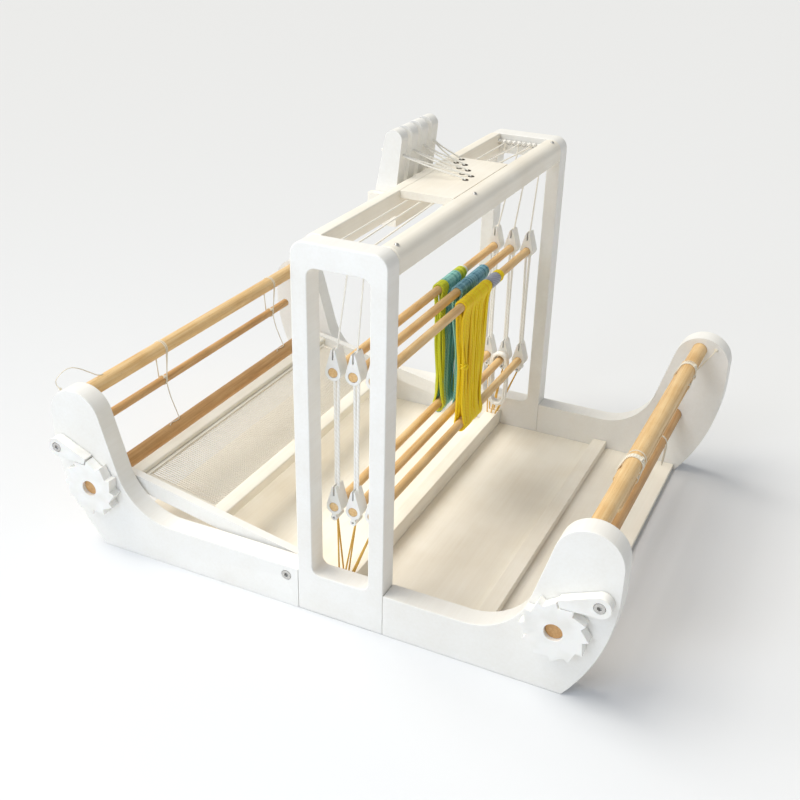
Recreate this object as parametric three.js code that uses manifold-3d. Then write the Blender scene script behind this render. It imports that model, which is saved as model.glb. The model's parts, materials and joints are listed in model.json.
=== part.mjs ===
// A small table loom with lever-worked shafts. Millimetres, +Z up.
// +X is the side that carries the ratchets, -Y is the weaver's side, +Y is where the warp is wound.
// Everything is laid out about the middle of the castle; the whole loom is centred on its box at the end.
import * as THREE from "three";
import { mergeVertices } from "three/addons/utils/BufferGeometryUtils.js";
import Module from "manifold-3d";

const wasm = await Module();
wasm.setup();

// ---- Driving dimensions ----
const loomWidth = 500; // over the outside of the two side frames
const panelThickness = 24; // cheeks and castle frames
const jointGap = 0.3; // between pieces that touch
const slipGap = 0.4; // radial, round anything that turns in a hole

const castleHeight = 410;
const castleDepth = 99;
const castleCornerRadius = 14;
const windowPostWidth = 17;
const windowHeadHeight = 24;
const windowSillHeight = 49;
const windowCornerRadius = 9;

const cheekHeight = 49;
const frontReach = 314; // castle to the outermost point of the front horn
const rearReach = 238;
const hornHeight = 191;
const hornRadius = 33.5;
const hornSlope = THREE.MathUtils.degToRad(74); // of the inner edge below the horn
const cheekFilletRadius = 70;
const toeCurveHeight = 135;
const toeBelly = 0.46; // share of the toe curve's height where it bends most
const frontToeInset = 57;
const rearToeInset = 45;

const beamDiameter = 18;
const beamCover = 7; // wood over the beam's hole at the top of the horn
const frontBeamShift = 7; // beams sit a little to the weaver's side of the horn's middle
const rearBeamShift = 4;
const blindHoleDepth = 10;

const rollerDiameter = 18;
const rollerHeight = 80;
const frontRollerSetback = 53; // from the outermost point of the horn
const rearRollerSetback = 56;
const rollerEndRecess = 4; // inside the ratchet's hub
const ratchetThickness = 12;
const ratchetTeeth = 12;
const ratchetTipRadius = 34.5;
const ratchetRootRadius = 28.5;
const ratchetFaceSlant = THREE.MathUtils.degToRad(5);
const sidePlayGap = 0.6; // cheek to ratchet and cheek to pawl

const pawlOut = 40; // of the pawl bolt from the roller, along Y
const pawlUp = 42;
const pawlEndRadius = 11;
const pawlTipHeight = 7;
const pawlTipLift = 1.4; // tip over the root of the teeth
const pawlFaceGap = 0.5; // tip to the tooth's face
const pawlBackShift = 0.8; // top corner of the tip past the roller's middle
const pawlEndSweep = 0.6 * Math.PI; // where the round end stops on its upper side
const boltRadius = 3;
const boltHeadRadius = 5.5;
const boltHeadHeight = 4;
const boltSocketRadius = 2.6;
const boltSocketDepth = 2.4;
const boltBite = 12; // how deep a pawl bolt's hole is in the cheek
const boltTipGap = 2; // end of the bolt to the bottom of its hole

const baseBoardThickness = 6;
const baseBoardLift = 2;
const baseBoardInset = 2; // behind the toes
const battenWidth = 18;
const battenThickness = 10;
const battenFromCastle = 90;
const footRailThickness = 16;
const footRailHeight = 22;
const footRailFromCastleFront = 29.5;

const topRailWidth = 19.5;
const topRailHeight = 25;
const topRailRound = 12;
const cordPlateThickness = 8;
const cordPlateStart = -92;
const cordPlateEnd = 62;
const cordHoleRadius = 3;
const cordHoleSpread = 8; // of a pair, either side of its middle
const cordPairShift = 27; // first pair from the first lever, away from the ratchets
const cordPairStep = 20;
const cordPairFirstY = 14;
const cordPairStepY = 12;

const leverCount = 4;
const leverThickness = 16;
const leverPitch = 26;
const leverFirstX = 12; // middle of the lever nearest the ratchet side
const leverLength = 78; // axle to the middle of the rounded top
const leverBaseRadius = 13;
const leverTopRadius = 10;
const leverLean = THREE.MathUtils.degToRad(8);
const leverAxleBelowTop = 38;
const leverAxleOut = 20.5; // in front of the castle
const leverAxleRadius = 3.5;
const leverSlotPlay = 0.6;
const leverCordHoleUp = 62;
const leverCordHoleRadius = 1.6;
const rackBackThickness = 5;
const rackFingerReach = 34;
const rackBelowAxle = 14;
const rackAboveAxle = 20;
const rackEndWall = 9;

const shaftCount = 3;
const shaftPitch = 22;
const shaftRodDiameter = 10;
const upperRodBelowTop = 139; // middle of an upper rod below the top of the castle
const lowerRodHeight = 118;
const shaftEndPlay = 5; // holder to castle frame
const holderThickness = 16;
const holderRadius = 8.5;
const holderTipUp = 22;
const holderTipRadius = 2.6;
const holderSlotWidth = 1.8;
const holderSlotDepth = 11;
const hookDrop = 13;
const hookRadius = 3.6;
const hookHoleRadius = 1.4;
const hookNeckWidth = 4.8;
const heddleThickness = 8;
const heddleRodGap = 0.4;
const heddleSpans = [
  [-98, -28],
  [-116, -32],
  [-70, 8],
];
const hankFromHolder = 3; // clear of the far lower holder
const hankThickness = 12;
const hankWidth = 28;
const hankDepth = 80;
const hankCordBundle = 7;
const hankAboveRod = 1.2;
const hankFlat = 0.1; // straight bit between the hank's two round corners

const beaterPivotOut = 14.5; // in front of the castle
const beaterPivotHeight = 37;
const beaterRest = THREE.MathUtils.degToRad(10.6);
const beaterArmThickness = 10;
const beaterArmWidth = 18;
const beaterArmLength = 233;
const beaterArmTail = 14;
const beaterArmCorner = 5;
const beaterRailCorner = 2;
const beaterSideGap = 3;
const beaterRailThickness = 16;
const beaterTopRailWidth = 14;
const beaterTopRailEnd = 2; // arm that shows past the top rail
const beaterBottomRailAt = 102;
const beaterBottomRailWidth = 16;
const reedThickness = 3;
const reedSideGap = 8;

const clothStickDiameter = 10.5;
const clothStickDrop = 43; // below the front beam
const clothStickEndGap = 21; // to the cheeks
const warpStickDiameter = 7;
const warpStickDrop = 25; // below the back beam
const warpStickEndGap = 22; // its far end to the cheek
const warpStickLength = 344;
const leaseStickDiameter = 9;
const leaseStickEndGap = 26; // its far end to the cheek
const leaseStickLength = 310;
const leaseStickGap = 1;
const leaseStickBearing = THREE.MathUtils.degToRad(46); // below level, on the castle's side of the beam

// ---- Worked-out places ----
const outerX = loomWidth / 2;
const innerX = outerX - panelThickness;
const castleFront = -castleDepth / 2;
const castleRear = castleDepth / 2;
const frontTipY = castleFront - frontReach;
const rearTipY = castleRear + rearReach;
const hornCentreZ = hornHeight - hornRadius;
const beamZ = hornHeight - beamCover - beamDiameter / 2;
const frontBeamY = frontTipY + hornRadius - frontBeamShift;
const backBeamY = rearTipY - hornRadius - rearBeamShift;
const clothRollerY = frontTipY + frontRollerSetback;
const warpRollerY = rearTipY - rearRollerSetback;
const baseTop = baseBoardLift + baseBoardThickness;
const ratchetInnerX = outerX + sidePlayGap;
const ratchetOuterX = ratchetInnerX + ratchetThickness;
const leverAxleY = castleFront - leverAxleOut;
const leverAxleZ = castleHeight - leverAxleBelowTop;
const upperRodZ = castleHeight - upperRodBelowTop;
const holderOuterX = innerX - shaftEndPlay;
const beaterPivotY = castleFront - beaterPivotOut;
const spanBetweenPanels = innerX - jointGap;
const hankAt = -(holderOuterX - holderThickness - hankFromHolder - hankThickness / 2);
const clothStickSpan = [-(innerX - clothStickEndGap), innerX - clothStickEndGap];
const warpStickStart = -(innerX - warpStickEndGap);
const warpStickSpan = [warpStickStart, warpStickStart + warpStickLength];
const leaseStickStart = -(innerX - leaseStickEndGap);
const leaseStickSpan = [leaseStickStart, leaseStickStart + leaseStickLength];

// ---- Finishes ----
const finish = (color, roughness, metalness = 0) =>
  new THREE.MeshStandardMaterial({ color, roughness, metalness });
const whitePaint = finish(0xf2f3f1, 0.55);
const creamPaint = finish(0xf1e9d8, 0.6);
const beech = finish(0xd2a56a, 0.5);
const darkBeech = finish(0xb07b42, 0.55);
const steel = finish(0x8f9396, 0.35, 1);
const whitePlastic = finish(0xf4f4f2, 0.4);
const reedMetal = finish(0xd8d3c6, 0.45, 0.6);
const yarnColours = [0xa9b43a, 0x4f9a9a, 0xe0c414];

// ---- Geometry helpers ----
// A closed three.js geometry as a solid that can be cut and joined.
function solidOf(geometry) {
  const bare = geometry.clone();
  bare.deleteAttribute("normal");
  bare.deleteAttribute("uv");
  const merged = mergeVertices(bare, 1e-4);
  return new wasm.Manifold(
    new wasm.Mesh({
      numProp: 3,
      vertProperties: new Float32Array(merged.attributes.position.array),
      triVerts: new Uint32Array(merged.index.array),
    }),
  );
}

function geometryOf(solid) {
  const mesh = solid.getMesh();
  const geometry = new THREE.BufferGeometry();
  geometry.setAttribute("position", new THREE.BufferAttribute(mesh.vertProperties, 3));
  geometry.setIndex(new THREE.BufferAttribute(mesh.triVerts, 1));
  geometry.computeVertexNormals();
  return geometry;
}

const cut = (body, ...tools) =>
  geometryOf(tools.reduce((left, tool) => left.subtract(solidOf(tool)), solidOf(body)));
const join = (body, ...more) =>
  geometryOf(more.reduce((left, piece) => left.add(solidOf(piece)), solidOf(body)));

function block(xs, ys, zs) {
  const size = [xs, ys, zs].map(([low, high]) => high - low);
  const middle = [xs, ys, zs].map(([low, high]) => (low + high) / 2);
  return new THREE.BoxGeometry(...size).translate(...middle);
}

// A round bar along X, centred on y and z.
function barX(radius, xs, y = 0, z = 0, sides = 28) {
  const bar = new THREE.CylinderGeometry(radius, radius, xs[1] - xs[0], sides);
  return bar.rotateZ(-Math.PI / 2).translate((xs[0] + xs[1]) / 2, y, z);
}

// An outline drawn in Y and Z, carried along X.
function plateX(outline, xs, steps = 10) {
  const plate = new THREE.ExtrudeGeometry(outline, {
    depth: xs[1] - xs[0],
    bevelEnabled: false,
    curveSegments: steps,
  });
  const toYZ = new THREE.Matrix4().makeBasis(
    new THREE.Vector3(0, 1, 0),
    new THREE.Vector3(0, 0, 1),
    new THREE.Vector3(1, 0, 0),
  );
  return plate.applyMatrix4(toYZ).translate(xs[0], 0, 0);
}

function roundedRectangle(ys, zs, radius) {
  const [y0, y1] = ys;
  const [z0, z1] = zs;
  const quarter = Math.PI / 2;
  return new THREE.Shape()
    .moveTo(y0 + radius, z0)
    .lineTo(y1 - radius, z0)
    .absarc(y1 - radius, z0 + radius, radius, -quarter, 0)
    .lineTo(y1, z1 - radius)
    .absarc(y1 - radius, z1 - radius, radius, 0, quarter)
    .lineTo(y0 + radius, z1)
    .absarc(y0 + radius, z1 - radius, radius, quarter, 2 * quarter)
    .lineTo(y0, z0 + radius)
    .absarc(y0 + radius, z0 + radius, radius, 2 * quarter, 3 * quarter);
}

function named(name, geometry, material, place = [0, 0, 0]) {
  const mesh = new THREE.Mesh(geometry, material);
  mesh.name = name;
  mesh.position.set(...place);
  return mesh;
}

const nearSide = [innerX, outerX];
const farSide = [-outerX, -innerX];

// ---- Castle: two tall frames, top rails, foot rail ----
function castleFrame(xs) {
  const outside = roundedRectangle([castleFront, castleRear], [0, castleHeight], castleCornerRadius);
  const squareFoot = block(xs, [castleFront, castleRear], [0, cheekHeight]);
  const windowOutline = roundedRectangle(
    [castleFront + windowPostWidth, castleRear - windowPostWidth],
    [windowSillHeight, castleHeight - windowHeadHeight],
    windowCornerRadius,
  );
  const panel = join(plateX(outside, xs, 6), squareFoot);
  return cut(panel, plateX(windowOutline, [xs[0] - 1, xs[1] + 1], 5));
}

// A top rail: its outer top edge is rounded; side is -1 for the weaver's side and 1 for the rear.
function topRail(side) {
  const outer = (castleDepth / 2) * side;
  const inner = outer - topRailWidth * side;
  const bottom = castleHeight - topRailHeight;
  const outline = new THREE.Shape()
    .moveTo(inner, bottom)
    .lineTo(outer, bottom)
    .lineTo(outer, castleHeight - topRailRound)
    .absarc(
      outer - topRailRound * side,
      castleHeight - topRailRound,
      topRailRound,
      side > 0 ? 0 : Math.PI,
      Math.PI / 2,
      side < 0,
    )
    .lineTo(inner, castleHeight);
  return plateX(outline, [-spanBetweenPanels, spanBetweenPanels], 8);
}

// Each lever's cord goes down two holes, one for each end of its shaft; the pairs step back towards
// the rear, so that the cords don't rub.
function cordHolePlaces() {
  const places = [];
  for (let lever = 0; lever < leverCount; lever++) {
    const middleX = leverFirstX - cordPairShift - lever * cordPairStep;
    const y = cordPairFirstY - lever * cordPairStepY;
    places.push([middleX + cordHoleSpread, y], [middleX - cordHoleSpread, y]);
  }
  return places;
}

function cordPlate() {
  const edge = castleDepth / 2 - topRailWidth - jointGap;
  const zs = [castleHeight - cordPlateThickness, castleHeight];
  const holes = cordHolePlaces().map(([x, y]) =>
    new THREE.CylinderGeometry(cordHoleRadius, cordHoleRadius, 2 * cordPlateThickness, 12)
      .rotateX(Math.PI / 2)
      .translate(x, y, castleHeight - cordPlateThickness / 2),
  );
  return cut(block([cordPlateStart, cordPlateEnd], [-edge, edge], zs), ...holes);
}

const footRailY = [
  castleFront + footRailFromCastleFront,
  castleFront + footRailFromCastleFront + footRailThickness,
];

const castle = new THREE.Group();
castle.add(
  named("near_castle_frame", castleFrame(nearSide), whitePaint),
  named("far_castle_frame", castleFrame(farSide), whitePaint),
  named("front_top_rail", topRail(-1), creamPaint),
  named("rear_top_rail", topRail(1), creamPaint),
  named("cord_plate", cordPlate(), creamPaint),
  named(
    "foot_rail",
    block(
      [-spanBetweenPanels, spanBetweenPanels],
      footRailY,
      [baseTop + jointGap, baseTop + jointGap + footRailHeight],
    ),
    creamPaint,
  ),
);

// ---- Cheeks: low side boards that rise to a rounded horn ----
// The outline is drawn for a cheek that runs from the castle (0) to the tip of its horn (reach);
// direction is -1 for a front cheek and 1 for a rear one.
function cheekOutline(reach, toeInset, direction) {
  const hornCentre = reach - hornRadius;
  const slopeRun = Math.cos(hornSlope);
  const slopeRise = Math.sin(hornSlope);
  // the inner edge leaves the horn on a tangent and meets the flat top in one long fillet
  const leaveY = hornCentre - hornRadius * slopeRise;
  const leaveZ = hornCentreZ + hornRadius * slopeRun;
  const footY = leaveY - ((leaveZ - cheekHeight) * slopeRun) / slopeRise;
  const tangent = cheekFilletRadius * Math.tan(hornSlope / 2);
  const filletY = footY - tangent;
  const points = [];
  const add = (y, z) => points.push(new THREE.Vector2(y, z));
  const arc = (y, z, radius, from, to, steps) => {
    for (let i = 0; i <= steps; i++) {
      const angle = from + ((to - from) * i) / steps;
      add(y + radius * Math.cos(angle), z + radius * Math.sin(angle));
    }
  };
  add(0, 0);
  add(reach - toeInset, 0);
  const toe = new THREE.QuadraticBezierCurve(
    new THREE.Vector2(reach - toeInset, 0),
    new THREE.Vector2(reach, toeCurveHeight * toeBelly),
    new THREE.Vector2(reach, toeCurveHeight),
  );
  toe.getPoints(12).slice(1).forEach((p) => add(p.x, p.y));
  arc(hornCentre, hornCentreZ, hornRadius, 0, Math.PI / 2 + hornSlope, 22);
  const filletZ = cheekHeight + cheekFilletRadius;
  arc(filletY, filletZ, cheekFilletRadius, hornSlope - Math.PI / 2, -Math.PI / 2, 14);
  add(0, cheekHeight);
  const placed = points.map((p) => {
    const fromCastle = castleDepth / 2 + jointGap + p.x * (1 - jointGap / reach);
    return new THREE.Vector2(direction * fromCastle, p.y);
  });
  return new THREE.Shape(placed);
}

const cheeks = new THREE.Group();
function addCheek(name, xs, direction) {
  const isNear = xs[1] > 0;
  const reach = direction < 0 ? frontReach : rearReach;
  const toeInset = direction < 0 ? frontToeInset : rearToeInset;
  const beamY = direction < 0 ? frontBeamY : backBeamY;
  const rollerY = direction < 0 ? clothRollerY : warpRollerY;
  const inwards = isNear ? -1 : 1;
  const innerFace = isNear ? xs[0] : xs[1];
  // blind sockets open on the inner face; on the ratchet side the roller passes right through
  const blindSpan = [innerFace + inwards, innerFace - inwards * blindHoleDepth].sort((a, b) => a - b);
  const through = [xs[0] - 1, xs[1] + 1];
  const tools = [
    barX(beamDiameter / 2 + jointGap, blindSpan, beamY, beamZ),
    barX(rollerDiameter / 2 + slipGap, isNear ? through : blindSpan, rollerY, rollerHeight),
  ];
  if (isNear) {
    const pawlBoltY = rollerY + direction * pawlOut;
    const bite = [outerX - boltBite, outerX + 1];
    tools.push(barX(boltRadius + jointGap, bite, pawlBoltY, rollerHeight + pawlUp, 16));
  }
  if (direction < 0) {
    // the beater's bolt has its head let into the outer face
    const outerFace = isNear ? xs[1] : xs[0];
    const recess = [outerFace - inwards, outerFace + inwards * boltHeadHeight].sort((a, b) => a - b);
    tools.push(
      barX(boltRadius + jointGap, through, beaterPivotY, beaterPivotHeight, 16),
      barX(boltHeadRadius + jointGap, recess, beaterPivotY, beaterPivotHeight, 20),
    );
  }
  cheeks.add(named(name, cut(plateX(cheekOutline(reach, toeInset, direction), xs), ...tools), whitePaint));
}
addCheek("front_near_cheek", nearSide, -1);
addCheek("front_far_cheek", farSide, -1);
addCheek("rear_near_cheek", nearSide, 1);
addCheek("rear_far_cheek", farSide, 1);

// ---- Floor: one thin board between the cheeks, with a batten across the rear bay ----
const floor = new THREE.Group();
floor.add(
  named(
    "base_board",
    block(
      [-spanBetweenPanels, spanBetweenPanels],
      [
        frontTipY + frontToeInset + baseBoardInset,
        rearTipY - rearToeInset - baseBoardInset,
      ],
      [baseBoardLift, baseTop],
    ),
    creamPaint,
  ),
  named(
    "rear_batten",
    block(
      [-spanBetweenPanels, spanBetweenPanels],
      [castleRear + battenFromCastle - battenWidth / 2, castleRear + battenFromCastle + battenWidth / 2],
      [baseTop + jointGap, baseTop + jointGap + battenThickness],
    ),
    creamPaint,
  ),
);

// ---- Beams: plain dowels in blind sockets ----
const beamEnd = innerX + blindHoleDepth - jointGap;
const beamSpan = [-beamEnd, beamEnd];
const beams = new THREE.Group();
beams.add(
  named("front_beam", barX(beamDiameter / 2, beamSpan), beech, [0, frontBeamY, beamZ]),
  named("back_beam", barX(beamDiameter / 2, beamSpan), beech, [0, backBeamY, beamZ]),
);

// ---- Rollers with ratchet wheels, pawls and their bolts ----
// direction is the side of the roller on which the pawl's bolt stands
function ratchetWheel(direction) {
  const outline = new THREE.Shape();
  const pitch = (2 * Math.PI) / ratchetTeeth;
  const at = (radius, angle) => [direction * radius * Math.cos(angle), radius * Math.sin(angle)];
  for (let tooth = 0; tooth < ratchetTeeth; tooth++) {
    const tipAngle = tooth * pitch;
    const root = at(ratchetRootRadius, tipAngle - ratchetFaceSlant);
    if (tooth === 0) outline.moveTo(...root);
    else outline.lineTo(...root);
    outline.lineTo(...at(ratchetTipRadius, tipAngle));
  }
  const wheel = plateX(outline, [ratchetInnerX, ratchetOuterX]);
  const bore = [ratchetInnerX - 1, ratchetOuterX + 1];
  return cut(wheel, barX(rollerDiameter / 2 + jointGap, bore));
}

function pawl(direction) {
  const tipBottom = ratchetRootRadius + pawlTipLift;
  const tipTop = tipBottom + pawlTipHeight;
  const lean = Math.tan(ratchetFaceSlant) * ratchetTipRadius;
  const outline = new THREE.Shape()
    .moveTo(direction * (lean + pawlFaceGap), tipBottom)
    .lineTo(direction * pawlOut, pawlUp - pawlEndRadius)
    .absarc(
      direction * pawlOut,
      pawlUp,
      pawlEndRadius,
      -Math.PI / 2,
      direction > 0 ? pawlEndSweep : -Math.PI - pawlEndSweep,
      direction < 0,
    )
    .lineTo(direction * pawlBackShift, tipTop);
  const body = plateX(outline, [ratchetInnerX, ratchetOuterX], 14);
  const boltAt = [direction * pawlOut, pawlUp];
  const shankHole = [ratchetInnerX - 1, ratchetOuterX + 1];
  const headHole = [ratchetOuterX - boltHeadHeight, ratchetOuterX + 1];
  return cut(
    body,
    barX(boltRadius + slipGap, shankHole, ...boltAt, 16),
    barX(boltHeadRadius + slipGap, headHole, ...boltAt, 20),
  );
}

// A socket-head bolt along X whose head's outer face is at x = 0 and whose shank points to -X.
function socketBolt(length) {
  const head = barX(boltHeadRadius, [-boltHeadHeight + jointGap, 0], 0, 0, 20);
  const shank = barX(boltRadius, [-length, -boltHeadHeight / 2], 0, 0, 16);
  const socket = barX(boltSocketRadius, [-boltSocketDepth, 1], 0, 0, 6);
  return cut(join(head, shank), socket);
}

const rollerSpan = [-(innerX + blindHoleDepth - jointGap), ratchetOuterX - rollerEndRecess];
const pawlBoltLength = ratchetOuterX - outerX + boltBite - boltTipGap;

function addRoller(group, rollerName, ratchetName, pawlName, boltName, y, direction) {
  const place = [0, y, rollerHeight];
  const boltPlace = [ratchetOuterX, y + direction * pawlOut, rollerHeight + pawlUp];
  group.add(
    named(rollerName, barX(rollerDiameter / 2, rollerSpan), beech, place),
    named(ratchetName, ratchetWheel(direction), whitePlastic, place),
    named(pawlName, pawl(direction), whitePlastic, place),
    named(boltName, socketBolt(pawlBoltLength), steel, boltPlace),
  );
}
const rollers = new THREE.Group();
addRoller(rollers, "cloth_roller", "cloth_ratchet", "front_pawl", "front_pawl_bolt", clothRollerY, -1);
addRoller(rollers, "warp_roller", "warp_ratchet", "rear_pawl", "rear_pawl_bolt", warpRollerY, 1);

// ---- Beater: a frame that holds the reed and turns on two bolts beside the castle ----
// It is drawn lying level, its arms along -Y from the pivot, and the group tips it to where it rests.
const armOuterX = innerX - beaterSideGap;
const armInnerX = armOuterX - beaterArmThickness;
const beaterRailSpan = [-(armInnerX - jointGap), armInnerX - jointGap];
const topRailFrom = beaterArmLength - beaterTopRailEnd - beaterTopRailWidth;
const bottomRailTo = beaterBottomRailAt + beaterBottomRailWidth;

function beaterArm(xs) {
  const half = beaterArmWidth / 2;
  const arm = roundedRectangle([-beaterArmLength, beaterArmTail], [-half, half], beaterArmCorner);
  return cut(plateX(arm, xs, 4), barX(boltRadius + slipGap, [xs[0] - 1, xs[1] + 1], 0, 0, 16));
}

function beaterRail(from, width) {
  const half = beaterRailThickness / 2;
  const section = roundedRectangle([-(from + width), -from], [-half, half], beaterRailCorner);
  return plateX(section, beaterRailSpan, 2);
}

const beater = new THREE.Group();
beater.position.set(0, beaterPivotY, beaterPivotHeight);
beater.rotation.x = -beaterRest;
beater.add(
  named("beater_near_arm", beaterArm([armInnerX, armOuterX]), whitePaint),
  named("beater_far_arm", beaterArm([-armOuterX, -armInnerX]), whitePaint),
  named("beater_top_rail", beaterRail(topRailFrom, beaterTopRailWidth), creamPaint),
  named("beater_bottom_rail", beaterRail(beaterBottomRailAt, beaterBottomRailWidth), creamPaint),
  named(
    "reed",
    block(
      [-(armInnerX - reedSideGap), armInnerX - reedSideGap],
      [-(topRailFrom - jointGap), -(bottomRailTo + jointGap)],
      [-reedThickness / 2, reedThickness / 2],
    ),
    reedMetal,
  ),
);

const beaterBoltLength = panelThickness + beaterSideGap + beaterArmThickness;
const farBeaterBolt = named("far_beater_bolt", socketBolt(beaterBoltLength), steel, [
  -outerX,
  beaterPivotY,
  beaterPivotHeight,
]);
farBeaterBolt.rotation.z = Math.PI;
const beaterBolts = new THREE.Group();
beaterBolts.add(
  named("near_beater_bolt", socketBolt(beaterBoltLength), steel, [
    outerX,
    beaterPivotY,
    beaterPivotHeight,
  ]),
  farBeaterBolt,
);

// ---- Levers: tapered blades on one axle, held in a slotted rack on the front top rail ----
const leverX = (lever) => leverFirstX - lever * leverPitch;
const rackNearX = leverX(0) + leverThickness / 2 + leverSlotPlay + rackEndWall;
const rackFarX = leverX(leverCount - 1) - leverThickness / 2 - leverSlotPlay - rackEndWall;

function leverBlade() {
  // the two round ends are joined by their outer tangents
  const tilt = Math.asin((leverBaseRadius - leverTopRadius) / leverLength);
  const outline = new THREE.Shape()
    .absarc(0, 0, leverBaseRadius, Math.PI - tilt, 2 * Math.PI + tilt)
    .absarc(0, leverLength, leverTopRadius, tilt, Math.PI - tilt);
  const half = leverThickness / 2;
  const cordHole = new THREE.CylinderGeometry(
    leverCordHoleRadius,
    leverCordHoleRadius,
    4 * leverBaseRadius,
    10,
  ).translate(0, 0, leverCordHoleUp);
  return cut(
    plateX(outline, [-half, half], 12),
    barX(leverAxleRadius + slipGap, [-leverThickness, leverThickness], 0, 0, 16),
    cordHole,
  );
}

function leverRack() {
  const backY = castleFront - jointGap;
  const frontY = backY - rackFingerReach;
  const zs = [leverAxleZ - rackBelowAxle, leverAxleZ + rackAboveAxle];
  const slots = [];
  for (let lever = 0; lever < leverCount; lever++) {
    const half = leverThickness / 2 + leverSlotPlay;
    slots.push(
      block(
        [leverX(lever) - half, leverX(lever) + half],
        [frontY - 1, backY - rackBackThickness],
        [zs[0] - 1, zs[1] + 1],
      ),
    );
  }
  const axleHole = [rackFarX - 1, rackNearX + 1];
  return cut(
    block([rackFarX, rackNearX], [frontY, backY], zs),
    ...slots,
    barX(leverAxleRadius + slipGap, axleHole, leverAxleY, leverAxleZ, 16),
  );
}

const levers = new THREE.Group();
levers.add(
  named("lever_rack", leverRack(), whitePaint),
  named("lever_axle", barX(leverAxleRadius, [rackFarX, rackNearX], 0, 0, 16), steel, [
    0,
    leverAxleY,
    leverAxleZ,
  ]),
);
for (let lever = 0; lever < leverCount; lever++) {
  const blade = named(`lever_${lever + 1}`, leverBlade(), whitePaint, [
    leverX(lever),
    leverAxleY,
    leverAxleZ,
  ]);
  blade.rotation.x = -leverLean;
  levers.add(blade);
}

// ---- Shafts: each is an upper and a lower rod, with a holder on every end ----
// A holder is a thick teardrop: the rod goes through its round part and a cord is pinched in the slot
// of its tip. The lower holders also have a small eye underneath for the elastics.
function holder(xs, hasHook) {
  const lean = Math.asin((holderRadius - holderTipRadius) / holderTipUp);
  const outline = new THREE.Shape()
    .absarc(0, 0, holderRadius, Math.PI - lean, 2 * Math.PI + lean)
    .absarc(0, holderTipUp, holderTipRadius, lean, Math.PI - lean);
  let body = plateX(outline, xs, 9);
  const through = [xs[0] - 1, xs[1] + 1];
  if (hasHook)
    body = cut(
      join(
        body,
        barX(hookRadius, xs, 0, -hookDrop, 12),
        block(xs, [-hookNeckWidth / 2, hookNeckWidth / 2], [-hookDrop, 0]),
      ),
      barX(hookHoleRadius, through, 0, -hookDrop, 8),
    );
  const tip = holderTipUp + holderTipRadius;
  return cut(
    body,
    barX(shaftRodDiameter / 2 + jointGap, through, 0, 0, 20),
    block(
      through,
      [-holderSlotWidth / 2, holderSlotWidth / 2],
      [tip - holderSlotDepth, tip + 1],
    ),
  );
}

const nearHolder = [holderOuterX - holderThickness, holderOuterX];
const farHolder = [-holderOuterX, -(holderOuterX - holderThickness)];
const shafts = new THREE.Group();
for (let shaft = 0; shaft < shaftCount; shaft++) {
  const label = `shaft_${shaft + 1}`;
  const y = (shaft - (shaftCount - 1) / 2) * shaftPitch;
  const upper = [0, y, upperRodZ];
  const lower = [0, y, lowerRodHeight];
  const rod = () => barX(shaftRodDiameter / 2, [-holderOuterX, holderOuterX], 0, 0, 20);
  const rodClear = shaftRodDiameter / 2 + heddleRodGap;
  shafts.add(
    named(`${label}_upper_rod`, rod(), beech, upper),
    named(`${label}_lower_rod`, rod(), beech, lower),
    named(`${label}_near_upper_holder`, holder(nearHolder, false), whitePlastic, upper),
    named(`${label}_far_upper_holder`, holder(farHolder, false), whitePlastic, upper),
    named(`${label}_near_lower_holder`, holder(nearHolder, true), whitePlastic, lower),
    named(`${label}_far_lower_holder`, holder(farHolder, true), whitePlastic, lower),
    named(
      `${label}_heddles`,
      block(
        heddleSpans[shaft],
        [y - heddleThickness / 2, y + heddleThickness / 2],
        [lowerRodHeight + rodClear, upperRodZ - rodClear],
      ),
      finish(yarnColours[shaft], 0.85),
    ),
  );
}

// Spare heddle cord is kept as a hank, hung over the far end of the middle shaft's lower rod.
function spareHank() {
  const halfWidth = hankWidth / 2;
  const topZ = shaftRodDiameter / 2 + hankAboveRod + hankCordBundle;
  const outside = roundedRectangle(
    [-halfWidth, halfWidth],
    [topZ - hankDepth, topZ],
    halfWidth - hankFlat,
  );
  const hole = halfWidth - hankCordBundle;
  const inside = roundedRectangle(
    [-hole, hole],
    [topZ - hankDepth + hankCordBundle, topZ - hankCordBundle],
    hole - hankFlat,
  );
  const xs = [hankAt - hankThickness / 2, hankAt + hankThickness / 2];
  return cut(plateX(outside, xs, 8), plateX(inside, [xs[0] - 1, xs[1] + 1], 8));
}
shafts.add(named("spare_hank", spareHank(), finish(0xefe9da, 0.85), [0, 0, lowerRodHeight]));

// ---- Sticks that hang by strings from the beams, and one lashed to the back beam ----
const leaseReach = (beamDiameter + leaseStickDiameter) / 2 + leaseStickGap;
const sticks = new THREE.Group();
sticks.add(
  named("cloth_stick", barX(clothStickDiameter / 2, clothStickSpan, 0, 0, 14), darkBeech, [
    0,
    frontBeamY,
    beamZ - clothStickDrop,
  ]),
  named("warp_stick", barX(warpStickDiameter / 2, warpStickSpan, 0, 0, 14), darkBeech, [
    0,
    backBeamY,
    beamZ - warpStickDrop,
  ]),
  named("lease_stick", barX(leaseStickDiameter / 2, leaseStickSpan, 0, 0, 16), darkBeech, [
    0,
    backBeamY - leaseReach * Math.cos(leaseStickBearing),
    beamZ - leaseReach * Math.sin(leaseStickBearing),
  ]),
);

const loom = new THREE.Group();
loom.add(castle, cheeks, floor, beams, rollers, beater, beaterBolts, levers, shafts, sticks);

// The part's origin is under the middle of its box, on the table.
const extent = new THREE.Box3().setFromObject(loom, true);
const centre = extent.getCenter(new THREE.Vector3());
loom.position.set(-centre.x, -centre.y, 0);

export default loom;
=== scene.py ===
# A small table loom: white painted boards, beech dowels, a castle with three heddle shafts and four levers,
# a tipping beater, and two rollers with ratchets. Metres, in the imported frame; +X is the ratchet side.
import json
import bmesh
import bpy
import numpy as np
from mathutils import Matrix, Vector

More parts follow.
